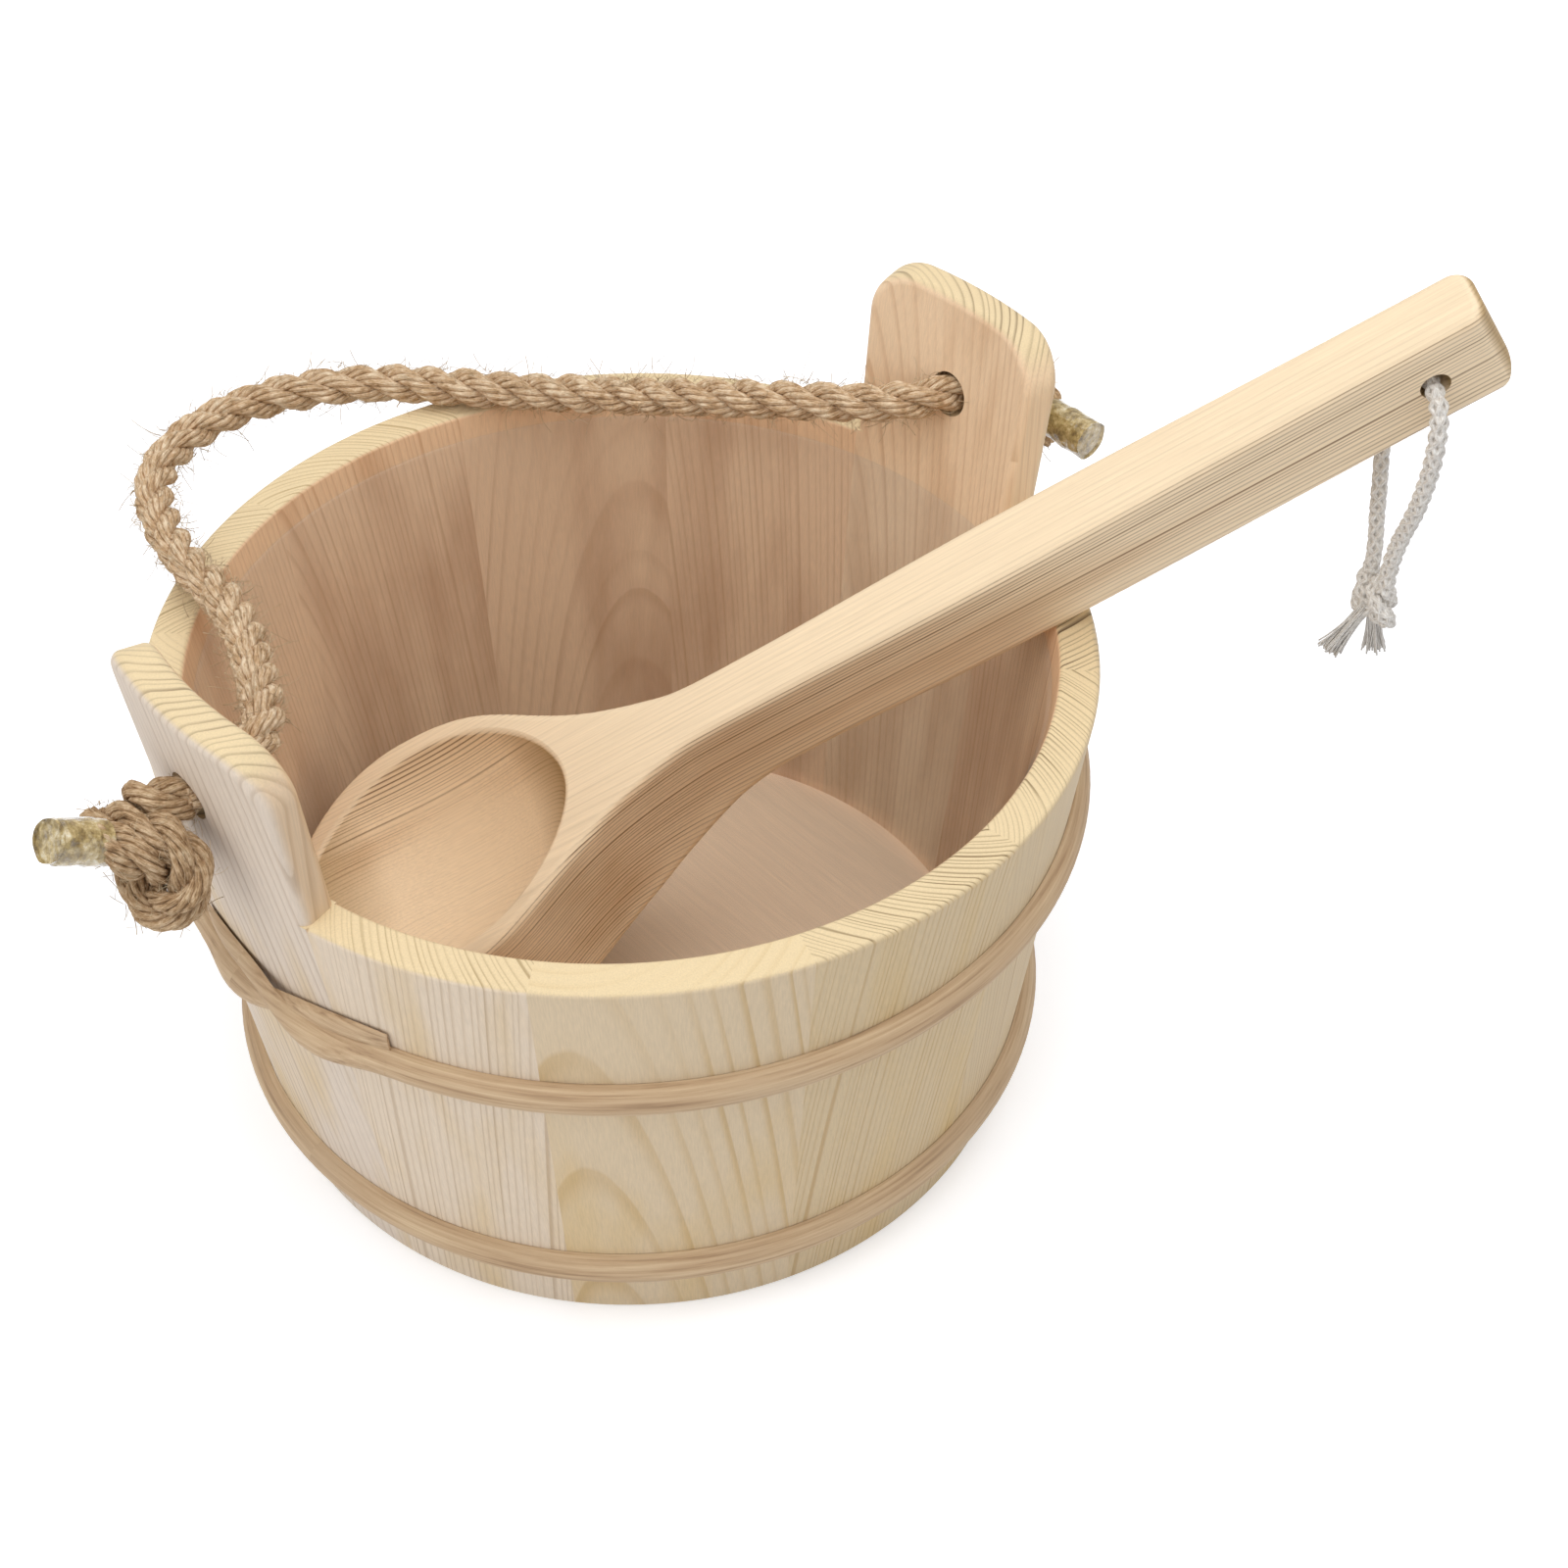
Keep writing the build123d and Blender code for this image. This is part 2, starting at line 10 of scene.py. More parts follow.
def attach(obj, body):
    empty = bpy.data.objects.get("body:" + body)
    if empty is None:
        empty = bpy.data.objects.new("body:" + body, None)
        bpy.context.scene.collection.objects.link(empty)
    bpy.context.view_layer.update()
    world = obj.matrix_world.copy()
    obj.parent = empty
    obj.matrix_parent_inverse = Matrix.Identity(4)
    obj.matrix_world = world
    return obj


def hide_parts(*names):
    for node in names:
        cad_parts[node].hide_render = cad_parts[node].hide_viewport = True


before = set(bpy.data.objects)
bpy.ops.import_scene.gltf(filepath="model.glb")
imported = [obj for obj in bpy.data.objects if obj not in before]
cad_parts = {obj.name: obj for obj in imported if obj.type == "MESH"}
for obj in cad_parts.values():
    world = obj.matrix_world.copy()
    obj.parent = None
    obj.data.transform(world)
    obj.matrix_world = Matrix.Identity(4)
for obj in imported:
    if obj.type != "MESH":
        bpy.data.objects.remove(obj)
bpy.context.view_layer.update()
bpy.ops.object.select_all(action="DESELECT")
scene = bpy.context.scene
scene.view_settings.view_transform = "Standard"
mm = 0.001

# Camera, looking down into the pail over its front left staves through a lens that is a little
# longer than normal.
camera_place = (-0.3333, -0.4464, 0.6225)
camera_tilt_degrees = 46.71
camera_heading_degrees = -41.44
camera_lens = 58.69
camera_sensor = 36.0
bpy.ops.object.camera_add(
    location=camera_place,
    rotation=(math.radians(camera_tilt_degrees), 0, math.radians(camera_heading_degrees)),
)
camera = bpy.context.object
camera.data.lens = camera_lens
camera.data.sensor_width = camera_sensor
scene.camera = camera

# Rope handle: 12 mm jute of three strands laid right-handed, each strand of seven yarns laid
# the other way. It goes through both ears, over the back rim and forward above the left staves.
knot_seat = 139.45
rope_route = [
    (knot_seat, 0, 181.5),
    (119.5, 0, 181.5),
    (100, 22.5, 179),
    (83.5, 52.5, 172.5),
    (63, 86, 165.5),
    (39.5, 118.5, 161.5),
    (13.5, 149.5, 161),
    (-24, 165, 161.2),
    (-63.5, 150.5, 163),
    (-79, 111.5, 164.5),
    (-81.5, 71, 167.5),
    (-95.5, 36, 174),
    (-114.5, 0, 181.5),
    (-knot_seat, 0, 181.5),
]
strand_count = 3
strand_offset = 3.0 * mm
strand_radius = 3.1 * mm
rope_lay = 35 * mm
yarn_count = 7
yarn_radius = 0.98 * mm
yarn_lay = 31 * mm
yarn_sides = 6
core_share = 0.86
core_sides = 8
rope_step = 1.2 * mm
yarn_roughness = 0.3
yarn_wander = 0.36 * mm
rough_scale = 160
strand_rough_gap = 7
yarn_rough_gap = 3
line_resolution = 40


def smooth_line(name, route):
    """Points along the smooth line that a route's points, in millimetres, pull."""
    curve = bpy.data.curves.new(name, "CURVE")
    curve.dimensions = "3D"
    curve.resolution_u = line_resolution
    spline = curve.splines.new("NURBS")
    spline.points.add(len(route) - 1)
    for point, place in zip(spline.points, route):
        point.co = (place[0] * mm, place[1] * mm, place[2] * mm, 1)
    spline.order_u = 3
    spline.use_endpoint_u = True
    line = bpy.data.objects.new(name, curve)
    drawn = bpy.data.meshes.new_from_object(line)
    points = [vertex.co.copy() for vertex in drawn.vertices]
    bpy.data.objects.remove(line)
    bpy.data.meshes.remove(drawn)
    return points


def evenly(points, step):
    """The same line as points one step apart, with its two ends kept."""
    lengths = [0.0]
    for start, end in zip(points, points[1:]):
        lengths.append(lengths[-1] + (end - start).length)
    count = max(2, round(lengths[-1] / step))
    even = []
    place = 0
    for number in range(count + 1):
        along = lengths[-1] * number / count
        while place < len(points) - 2 and lengths[place + 1] < along:
            place += 1
        share = (along - lengths[place]) / max(lengths[place + 1] - lengths[place], 1e-9)
        even.append(points[place].lerp(points[place + 1], share))
    return even


def turning_frames(points):
    """At each point, its place and three square directions that don't twist along the line."""
    frames = []
    across = None
    for number, place in enumerate(points):
        before = points[max(number - 1, 0)]
        after = points[min(number + 1, len(points) - 1)]
        along = (after - before).normalized()
        if across is None:
            across = along.orthogonal()
        across = (across - along * across.dot(along)).normalized()
        frames.append((place, across, along.cross(across), along))
    return frames


class Yarns:
    """Gathers round tubes into one mesh, with a map of metres along and shares round each tube."""

    def __init__(self):
        self.places = []
        self.faces = []
        self.lays = []

    def tube(self, points, radii, sides, lay_start):
        frames = turning_frames(points)
        first = len(self.places)
        along = lay_start
        lengths = []
        for number, (place, across, up, _) in enumerate(frames):
            if number:
                along += (place - frames[number - 1][0]).length
            lengths.append(along)
            for side in range(sides):
                angle = 2 * math.pi * side / sides
                reach = across * math.cos(angle) + up * math.sin(angle)
                self.places.append(place + reach * radii[number])
        for number in range(len(frames) - 1):
            for side in range(sides):
                beside = (side + 1) % sides
                here = first + number * sides
                self.faces.append(
                    (here + side, here + beside, here + sides + beside, here + sides + side)
                )
                low = side / sides
                high = (side + 1) / sides
                self.lays += [
                    (lengths[number], low),
                    (lengths[number], high),
                    (lengths[number + 1], high),
                    (lengths[number + 1], low),
                ]
        last = first + (len(frames) - 1) * sides
        self.faces.append(tuple(first + side for side in reversed(range(sides))))
        self.faces.append(tuple(last + side for side in range(sides)))
        self.lays += [(lengths[0], 0)] * sides
        self.lays += [(lengths[-1], 0)] * sides

    def piece(self, name):
        mesh = bpy.data.meshes.new(name)
        mesh.from_pydata(self.places, [], self.faces)
        layer = mesh.uv_layers.new(name="Lay")
        for loop, lay in zip(layer.data, self.lays):
            loop.uv = lay
        mesh.polygons.foreach_set("use_smooth", [True] * len(mesh.polygons))
        made = bpy.data.objects.new(name, mesh)
        scene.collection.objects.link(made)
        return made


def lay_rope(yarns, points, seed):
    """Three strands of seven yarns and their cores, laid along a line of points."""
    chance = random.Random(seed)
    frames = turning_frames(evenly(points, rope_step))
    step = (frames[1][0] - frames[0][0]).length
    drift = chance.uniform(0, 100)
    for strand in range(strand_count):
        middles = []
        spokes = []
        for number, (place, across, up, _) in enumerate(frames):
            angle = 2 * math.pi * (strand / strand_count + number * step / rope_lay)
            spoke = across * math.cos(angle) + up * math.sin(angle)
            beside = up * math.cos(angle) - across * math.sin(angle)
            middles.append(place + spoke * strand_offset)
            spokes.append((spoke, beside))
        core_radius = (strand_radius - yarn_radius) * core_share
        yarns.tube(middles, [core_radius] * len(middles), core_sides, strand)
        for yarn in range(yarn_count):
            rough_start = drift + strand * strand_rough_gap + yarn * yarn_rough_gap
            centres = []
            radii = []
            for number, middle in enumerate(middles):
                turn = number * step * (1 / yarn_lay + 1 / rope_lay)
                angle = 2 * math.pi * (yarn / yarn_count - turn)
                spoke, beside = spokes[number]
                rough = noise.noise(Vector((rough_start, number * step * rough_scale, yarn)))
                reach = strand_radius - yarn_radius + rough * yarn_wander
                centres.append(
                    middle + spoke * math.cos(angle) * reach + beside * math.sin(angle) * reach
                )
                radii.append(yarn_radius * (1 + rough * yarn_roughness))
            yarns.tube(centres, radii, yarn_sides, chance.uniform(0, 1))


def dye(text):
    """A colour written as on a paint card, as the linear colour that Blender mixes."""
    shares = [int(text[place : place + 2], 16) / 255 for place in (1, 3, 5)]
    return (*[((share + 0.055) / 1.055) ** 2.4 for share in shares], 1)


def finish_material(name, roughness, specular):
    """A new material with its Principled shader set to a roughness and a shine."""
    material = bpy.data.materials.new(name)
    material.use_nodes = True
    shader = material.node_tree.nodes["Principled BSDF"]
    shader.inputs["Roughness"].default_value = roughness
    shader.inputs["Specular IOR Level"].default_value = specular
    return material, shader


def add_node(material, kind, settings=None, **sockets):
    """One more node. A socket takes another node's output or a plain value, and is given by its
    name, or by an underscore and its number."""
    made = material.node_tree.nodes.new("ShaderNode" + kind)
    for key, value in (settings or {}).items():
        setattr(made, key, value)
    for key, value in sockets.items():
        number = key[1:]
        socket = made.inputs[int(number) if number.isdigit() else key.replace("_", " ")]
        if isinstance(value, bpy.types.NodeSocket):
            material.node_tree.links.new(value, socket)
        else:
            socket.default_value = value
    return made


def ramp(material, factor, *stops):
    """A colour ramp whose stops are a share and a colour, or a share and a grey."""
    made = add_node(material, "ValToRGB", Fac=factor)
    stops = list(stops)
    while len(made.color_ramp.elements) < len(stops):
        made.color_ramp.elements.new(0.5)
    for element, (share, colour) in zip(made.color_ramp.elements, stops):
        element.position = share
        element.color = colour if isinstance(colour, tuple) else (colour, colour, colour, 1)
    return made.outputs["Color"]


def sum_up(material, operation, *values):
    """A Math node of the named operation."""
    sockets = {f"_{number}": value for number, value in enumerate(values)}
    return add_node(material, "Math", {"operation": operation}, **sockets).outputs[0]


def bump(material, shader, height, strength, distance):
    """Relief on the surface from a height."""
    made = add_node(
        material, "Bump", Strength=strength, Distance=distance, Height=height
    )
    material.node_tree.links.new(made.outputs["Normal"], shader.inputs["Normal"])


def stretched(material, source, scale):
    """Coordinates stretched by a scale for each direction."""
    made = add_node(material, "Mapping", Vector=source, Scale=scale)
    return made.outputs["Vector"]


def cloudy(material, vector, detail, scale=1.0, roughness=0.5):
    """A grey pattern of soft clouds over some coordinates."""
    made = add_node(
        material, "TexNoise", Vector=vector, Scale=scale, Detail=detail, Roughness=roughness
    )
    return made.outputs["Fac"]


jute_fibre_scale = (420, 14, 1)
jute_clump_scale = 260.0
jute_fibre_share = 0.55
jute_shares = (0.32, 0.46, 0.62)
jute_relief = 0.9
jute_relief_depth = 0.6 * mm


def jute(name, dark, middle, pale):
    """Dull vegetable fibre: fine pale and brown fibres that run with the yarn."""
    material, shader = finish_material(name, roughness=0.9, specular=0.12)
    lay = add_node(material, "UVMap", {"uv_map": "Lay"}).outputs["UV"]
    fibres = cloudy(
        material, stretched(material, lay, jute_fibre_scale), detail=4.0, roughness=0.65
    )
    place = add_node(material, "TexCoord").outputs["Object"]
    clumps = cloudy(material, place, detail=5.0, scale=jute_clump_scale, roughness=0.7)
    fibres = sum_up(material, "MULTIPLY", fibres, jute_fibre_share)
    mottle = sum_up(material, "MULTIPLY_ADD", clumps, 1 - jute_fibre_share, fibres)
    dyes = [dye(colour) for colour in (dark, middle, pale)]
    colour = ramp(material, mottle, *zip(jute_shares, dyes))
    material.node_tree.links.new(colour, shader.inputs["Base Color"])
    bump(material, shader, mottle, jute_relief, jute_relief_depth)
    return material


rope_jute = jute("jute", "#664C34", "#C6A47E", "#F4E2C6")
knot_jute = jute("knotted jute", "#4C3826", "#AC8B67", "#E6CEAC")
rope_line = smooth_line("rope line", rope_route)
rope_yarns = Yarns()
lay_rope(rope_yarns, rope_line, seed=11)
rope = rope_yarns.piece("rope")
rope.data.materials.append(rope_jute)
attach(rope, "rope loop")
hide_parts("rope_handle")

# Knots outside the ears: the same rope, tied in an overhand knot whose tail comes out of its
# front on the left and runs forward on the right. Places are out of the ear, to the side and up.
knot_height = 173.0
knot_round = [
    (-1, 0, 8.5),
    (4.5, 1, 9.5),
    (7.8, 5.5, 10),
    (7.8, 9, 4.5),
    (12.2, 5.4, -3),
    (17.8, -1.8, -10.4),
    (18, -10.2, -12),
    (12.2, -15.4, -8.6),
    (7.8, -15, -2.2),
    (7.8, -9.6, 4.2),
    (12.2, 0, 7),
    (18, 9.6, 4.2),
    (18, 15, -2.2),
    (12.2, 15.4, -8.8),
    (7.8, 10.2, -12.4),
    (7.8, 1.8, -10.4),
    (12.2, -5.4, -3),
]
left_tail = [(18.5, -7.5, 4.5), (21, -3, 7.5), (24.5, 0, 9.2), (27, 0, 10.8)]
right_tail = [(18, -7.5, 5.5), (13.5, -12.5, 3), (11, -18, 0.3), (11, -21, 0)]


def ear_place(side, out, across, up):
    """A place outside an ear, in millimetres: side is 1 at the right ear and -1 at the left."""
    return (side * (knot_seat + out), across, knot_height + up)


for knot_name, side, tail, seed in (
    ("knot_right", 1, right_tail, 21),
    ("knot_left", -1, left_tail, 22),
):
    knot_yarns = Yarns()
    knot_route = [ear_place(side, *place) for place in knot_round + tail]
    lay_rope(knot_yarns, smooth_line(knot_name + " line", knot_route), seed)
    tied = knot_yarns.piece(knot_name.replace("knot", "tied_knot"))
    tied.data.materials.append(knot_jute)
    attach(tied, "rope loop")
    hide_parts(knot_name)

# Loose fibres of the jute. Long ones stand off the rope, and short ones lie close to it and
# to its knots, which felts them over.
hair_radius = 0.09 * mm
hair_thicknesses = (0.6, 1.3)
hair_sides = 3
hair_steps = 6
hair_lean = 1.6
lowest_hair_rise = 0.15
hair_bends = (0.1, 0.55)
hair_bend = 0.6
shortest_hair_share = 0.25
deepest_root_share = 0.8
hair_spacing = 2 * mm
places_in_ear = 3
bare_tail_places = 2
# For each: how many, how long at most, how far from the middle they start, and the seed.
long_hairs = (1100, 11 * mm, 5.9 * mm, 31)
short_hairs = (2200, 4.5 * mm, 6 * mm, 34)
left_knot_hairs = (700, 6 * mm, 6.1 * mm, 33)
right_knot_hairs = (700, 6 * mm, 6.1 * mm, 32)


def loose_fibres(yarns, points, count, reach, root, seed):
    """Bent fibres that leave a line's surface at random places."""
    chance = random.Random(seed)
    frames = turning_frames(points)
    for _ in range(count):
        place, across, up, along = chance.choice(frames)
        angle = chance.uniform(0, 2 * math.pi)
        out = across * math.cos(angle) + up * math.sin(angle)
        rise = out * chance.uniform(lowest_hair_rise, 1)
        heading = (rise + along * chance.uniform(-hair_lean, hair_lean)).normalized()
        bend = Vector([chance.uniform(-1, 1) for _ in range(3)]) * chance.uniform(*hair_bends)
        length = reach * chance.uniform(shortest_hair_share, 1) ** 2
        spot = place + out * root * chance.uniform(deepest_root_share, 1)
        fibre = [spot.copy()]
        for _ in range(hair_steps):
            heading = (heading + bend * hair_bend).normalized()
            spot = spot + heading * (length / hair_steps)
            fibre.append(spot.copy())
        thick = hair_radius * chance.uniform(*hair_thicknesses)
        yarns.tube(fibre, [thick] * len(fibre), hair_sides, chance.uniform(0, 1))


fuzz_yarns = Yarns()
for hairs in (long_hairs, short_hairs):
    loose_fibres(fuzz_yarns, evenly(rope_line, hair_spacing), *hairs)
for side, tail, hairs in ((1, right_tail, right_knot_hairs), (-1, left_tail, left_knot_hairs)):
    places = knot_round[places_in_ear:] + tail[:bare_tail_places]
    knot_route = [ear_place(side, *place) for place in places]
    knot_line = evenly(smooth_line("fuzz line", knot_route), hair_spacing)
    loose_fibres(fuzz_yarns, knot_line, *hairs)
fuzz = fuzz_yarns.piece("rope_fuzz")
fuzz.data.materials.append(jute("loose jute", "#B4946C", "#D8BC94", "#F0DEC0"))
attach(fuzz, "rope loop")

# Taped ends: the rope's two ends beyond the knots, bound in clear film that has crumpled and
# catches the light, with the cut strands showing at the tip.
tape_radius = 5.9 * mm
tape_sides = 22
tape_rings = 9
tape_edge = 0.9 * mm
tape_dish = 0.5 * mm
cut_edge = 1.5 * mm
cut_rise = 0.4 * mm
crumple = 0.5 * mm
broad_folds = 230
fine_folds = 520
fine_fold_share = 0.6
tape_smooth_degrees = 24.0
end_facing_share = 0.9
left_tape_start = (23.4, 0, 8.4)
left_tape_length = 15.2 * mm
left_tail_degrees = 34.0
right_tape_start = (11, -16, 0)
right_tape_length = 21 * mm


def taped_end(name, node, start, tail, length, seed):
    """A crumpled sleeve of film round a rope's end."""
    tail = Vector(tail).normalized()
    middle = Vector(start) * mm + tail * length / 2
    bpy.ops.mesh.primitive_cylinder_add(
        vertices=tape_sides,
        radius=tape_radius,
        depth=length,
        location=middle,
        rotation=tail.to_track_quat("Z", "Y").to_euler(),
        end_fill_type="NGON",
    )
    made = bpy.context.object
    made.name = name
    made.data.name = name
    bpy.ops.object.transform_apply(location=True, rotation=True, scale=True)
    bpy.ops.object.mode_set(mode="EDIT")
    for ring in range(1, tape_rings):
        bpy.ops.mesh.select_all(action="SELECT")
        bpy.ops.mesh.bisect(
            plane_co=middle + tail * length * (ring / tape_rings - 0.5), plane_no=tail
        )
    bpy.ops.object.mode_set(mode="OBJECT")
    for face in made.data.polygons:
        face.select = abs(face.normal.dot(tail)) > end_facing_share
    bpy.ops.object.mode_set(mode="EDIT")
    bpy.ops.mesh.select_mode(type="FACE")
    bpy.ops.mesh.inset(thickness=tape_edge, depth=-tape_dish)
    bpy.ops.mesh.inset(thickness=cut_edge, depth=cut_rise)
    bpy.ops.object.mode_set(mode="OBJECT")
    drift = Vector((seed, seed, seed))
    for vertex in made.data.vertices:
        out = vertex.co - middle
        out -= tail * out.dot(tail)
        folds = noise.noise(vertex.co * broad_folds + drift)
        folds += noise.noise(vertex.co * fine_folds + drift) * fine_fold_share
        vertex.co += out.normalized() * folds * crumple
    bpy.ops.object.shade_smooth_by_angle(angle=math.radians(tape_smooth_degrees))
    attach(made, "rope loop")
    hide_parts(node)
    bpy.ops.object.select_all(action="DESELECT")
    return made


film_fibre_scale = 330.0
film_fold_scale = 420.0
film_relief = 0.8
film_relief_depth = 0.9 * mm
tape_film, film_shader = finish_material("taped rope end", roughness=0.22, specular=0.6)
film_shader.inputs["Coat Weight"].default_value = 1.0
film_shader.inputs["Coat Roughness"].default_value = 0.08
film_place = add_node(tape_film, "TexCoord").outputs["Object"]
film_fibres = cloudy(tape_film, film_place, detail=6.0, scale=film_fibre_scale, roughness=0.7)
film_colour = ramp(
    tape_film,
    film_fibres,
    (0.34, dye("#6A5632")),
    (0.47, dye("#A08A56")),
    (0.58, dye("#C8B27E")),
    (0.68, dye("#E6DFC4")),
)
tape_film.node_tree.links.new(film_colour, film_shader.inputs["Base Color"])
film_folds = add_node(
    tape_film, "TexVoronoi", {"feature": "F1"}, Vector=film_place, Scale=film_fold_scale
).outputs["Distance"]
bump(tape_film, film_shader, film_folds, film_relief, film_relief_depth)

left_lean = math.radians(left_tail_degrees)
tape_left = taped_end(
    "taped_end_left",
    "tape_end_left",
    ear_place(-1, *left_tape_start),
    (-math.cos(left_lean), 0, math.sin(left_lean)),
    left_tape_length,
    seed=3,
)
tape_right = taped_end(
    "taped_end_right",
    "tape_end_right",
    ear_place(1, *right_tape_start),
    (0, -1, 0),
    right_tape_length,
    seed=7,
)
for taped in (tape_left, tape_right):
    taped.data.materials.append(tape_film)

# Hanging loop of the ladle: 5 mm cotton braided from eight yarns, through the hole near the
# end of the handle and knotted below it. Places are across the loop and down from the hole.
hang_point = (176.481, -127.516, 234.367)
hang_across = (0.49682, 0.86785, 0)
hang_route = [
    (-5.2, 74.5),
    (-5.2, 66),
    (-7.6, 54.5),
    (-12.2, 43.5),
    (-15.6, 32),
    (-17.2, 20.5),
    (-16.8, 9.6),
    (-13, 2.4),
    (0, 0.2),
    (13.2, -2.4),
    (17, 5),
    (18, 15),
    (17.3, 25),
    (13.3, 35.5),
    (10.2, 47),
    (8, 58),
    (5.2, 66.5),
    (5.2, 74.5),
]
braid_yarns = 8
braid_yarn_radius = 0.82 * mm
braid_radius = 1.62 * mm
braid_weave = 0.36 * mm
braid_pitch = 17 * mm
braid_step = 0.8 * mm
braid_core_share = 0.85
quarter_turn = 0.25
cotton_fibre_scale = (700, 12, 1)
cotton_shares = (0.3, 0.5, 0.66)
cotton_relief = 0.6
cotton_relief_depth = 0.4 * mm


def hang_place(across, down, out=0):
    """A place in the loop's upright plane, or in front of it, in millimetres."""
    forward = (hang_across[1] * out, -hang_across[0] * out)
    return (
        hang_point[0] + hang_across[0] * across + forward[0],
        hang_point[1] + hang_across[1] * across + forward[1],
        hang_point[2] - down,
    )


def braid(yarns, points, seed):
    """Eight yarns that cross over and under each other round a core."""
    chance = random.Random(seed)
    frames = turning_frames(evenly(points, braid_step))
    step = (frames[1][0] - frames[0][0]).length
    yarns.tube(
        [spot[0] for spot in frames],
        [braid_radius * braid_core_share] * len(frames),
        core_sides,
        lay_start=0,
    )
    for yarn in range(braid_yarns):
        turn_way = 1 if yarn % 2 else -1
        centres = []
        for number, (place, across, up, _) in enumerate(frames):
            turn = number * step / braid_pitch
            angle = 2 * math.pi * (yarn // 2 / (braid_yarns / 2) + turn_way * turn)
            over = math.sin(2 * math.pi * (turn * braid_yarns / 2 + quarter_turn * turn_way))
            reach = braid_radius + turn_way * over * braid_weave
            centres.append(
                place + across * math.cos(angle) * reach + up * math.sin(angle) * reach
            )
        yarns.tube(
            centres, [braid_yarn_radius] * len(centres), yarn_sides, chance.uniform(0, 1)
        )


def cotton(name, dark, middle, pale):
    """Soft undyed cotton with fine fibres along each yarn."""
    material, shader = finish_material(name, roughness=0.92, specular=0.1)
    lay = add_node(material, "UVMap", {"uv_map": "Lay"}).outputs["UV"]
    fibres = cloudy(material, stretched(material, lay, cotton_fibre_scale), detail=3.0)
    dyes = [dye(colour) for colour in (dark, middle, pale)]
    colour = ramp(material, fibres, *zip(cotton_shares, dyes))
    material.node_tree.links.new(colour, shader.inputs["Base Color"])
    bump(material, shader, fibres, cotton_relief, cotton_relief_depth)
    return material


loop_cotton = cotton("braided cotton", "#C2BAB0", "#E4DFD8", "#F8F6F2")
hang_line = smooth_line("hanging line", [hang_place(*place) for place in hang_route])
hang_yarns = Yarns()
braid(hang_yarns, hang_line, seed=41)
hanging_loop = hang_yarns.piece("hanging_loop")
hanging_loop.data.materials.append(loop_cotton)
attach(hanging_loop, "hanging loop")
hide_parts("hang_cord")

# Knot of the hanging loop, with two short ends that have frayed. Places are across, down
# from the knot's middle and out of the loop's plane.
loop_knot_down = 80.2
loop_knot_round = [
    (5.2, -7.5, 0),
    (5.6, -3.5, -1.5),
    (3.4, 1.5, -2.4),
    (-1.8, 4.6, 0),
    (-6, 5, 2.6),
    (-8, 2.2, 1.5),
    (-7, -2.2, -2.2),
    (-2.6, -4.6, -2.2),
    (2.6, -4, 2.2),
    (7.2, -1.4, 2.6),
    (8, 2.6, 0),
    (5.4, 5.6, -2.4),
    (0, 4.6, -2.2),
    (-3.4, 0.5, 2.4),
    (-5.4, -3.4, 2.2),
    (-5.2, -7.5, 0),
]
fray_count = 70
fray_radius = 0.26 * mm
fray_sides = 4
fray_steps = 7
fray_ends = ((32, 23), (-8, 21))
fray_root = 3
fray_spread = 1.9 * mm
fray_curl = 0.03
fray_splay = 0.006
shortest_fray_share = 0.86
knot_yarns = Yarns()
loop_knot_line = smooth_line(
    "loop knot line",
    [hang_place(across, loop_knot_down + down, out) for across, down, out in loop_knot_round],
)
braid(knot_yarns, loop_knot_line, seed=42)
chance = random.Random(43)
knot_middle = Vector(hang_place(0, loop_knot_down)) * mm
swing_axis = Vector(hang_across)
for lean, reach in fray_ends:
    hanging = Matrix.Rotation(math.radians(lean), 3, swing_axis) @ Vector((0, 0, -1))
    frayed = turning_frames([knot_middle, knot_middle + hanging * mm])[0]
    for _ in range(fray_count):
        angle = chance.uniform(0, 2 * math.pi)
        spread = math.sqrt(chance.uniform(0, 1))
        out = frayed[1] * math.cos(angle) + frayed[2] * math.sin(angle)
        spot = knot_middle + hanging * fray_root * mm + out * spread * fray_spread
        curl = Vector([chance.uniform(-1, 1) for _ in range(3)]) * fray_curl
        heading = hanging
        strand = [spot.copy()]
        for step_number in range(fray_steps):
            splay = out * spread * fray_splay * step_number
            heading = (heading + splay + curl).normalized()
            length = reach * chance.uniform(shortest_fray_share, 1) - fray_root
            spot = spot + heading * length * mm / fray_steps
            strand.append(spot.copy())
        knot_yarns.tube(
            strand, [fray_radius] * len(strand), fray_sides, chance.uniform(0, 1)
        )
loop_knot = knot_yarns.piece("loop_knot")
loop_knot.data.materials.append(loop_cotton)
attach(loop_knot, "hanging loop")
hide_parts("hang_cord_knot")

# Staves: ten plain ones and two that stand up as ears, split and shaved from pale softwood.
# Each was cut from another place in its log, so each shows its own rings on the rim and lines
# on its faces. The rings' centre is given out of the wall and along it, in millimetres.
grain_stretch = 9
ring_drift = 2.2 * mm
drift_scale = (16, 16, 24)
year_scale = 0.22
season_stops = ((0.0, 0.12), (0.3, 0.0), (0.62, 0.08), (0.86, 1.0), (0.95, 1.0), (1.0, 0.12))
faintest_ring = 0.4
patch_scale = (30, 30, 50)
wood_fibre_scale = (2300, 2300, 420)
blotch_scale = (40, 40, 70)
patch_stops = ((0.34, 0.35), (0.6, 1.0))
blush_stops = ((0.48, 0.0), (0.72, 0.75))
# Painted light: the mask that gives the faces turned into the pail their painted warm bounce
# light.
painted_light_inside_slope = -4.0
painted_light_inside_middle = 0.5
painted_light_inside_stops = ((0.1, 0.0), (0.7, 1.0))
quiet_line_share = 0.16
quiet_stops = ((0.62, 0.0), (0.82, 1.0))
end_stops = ((0.45, 0.0), (0.8, 1.0))
streak_stops = ((0.3, 0.9), (0.7, 1.03))
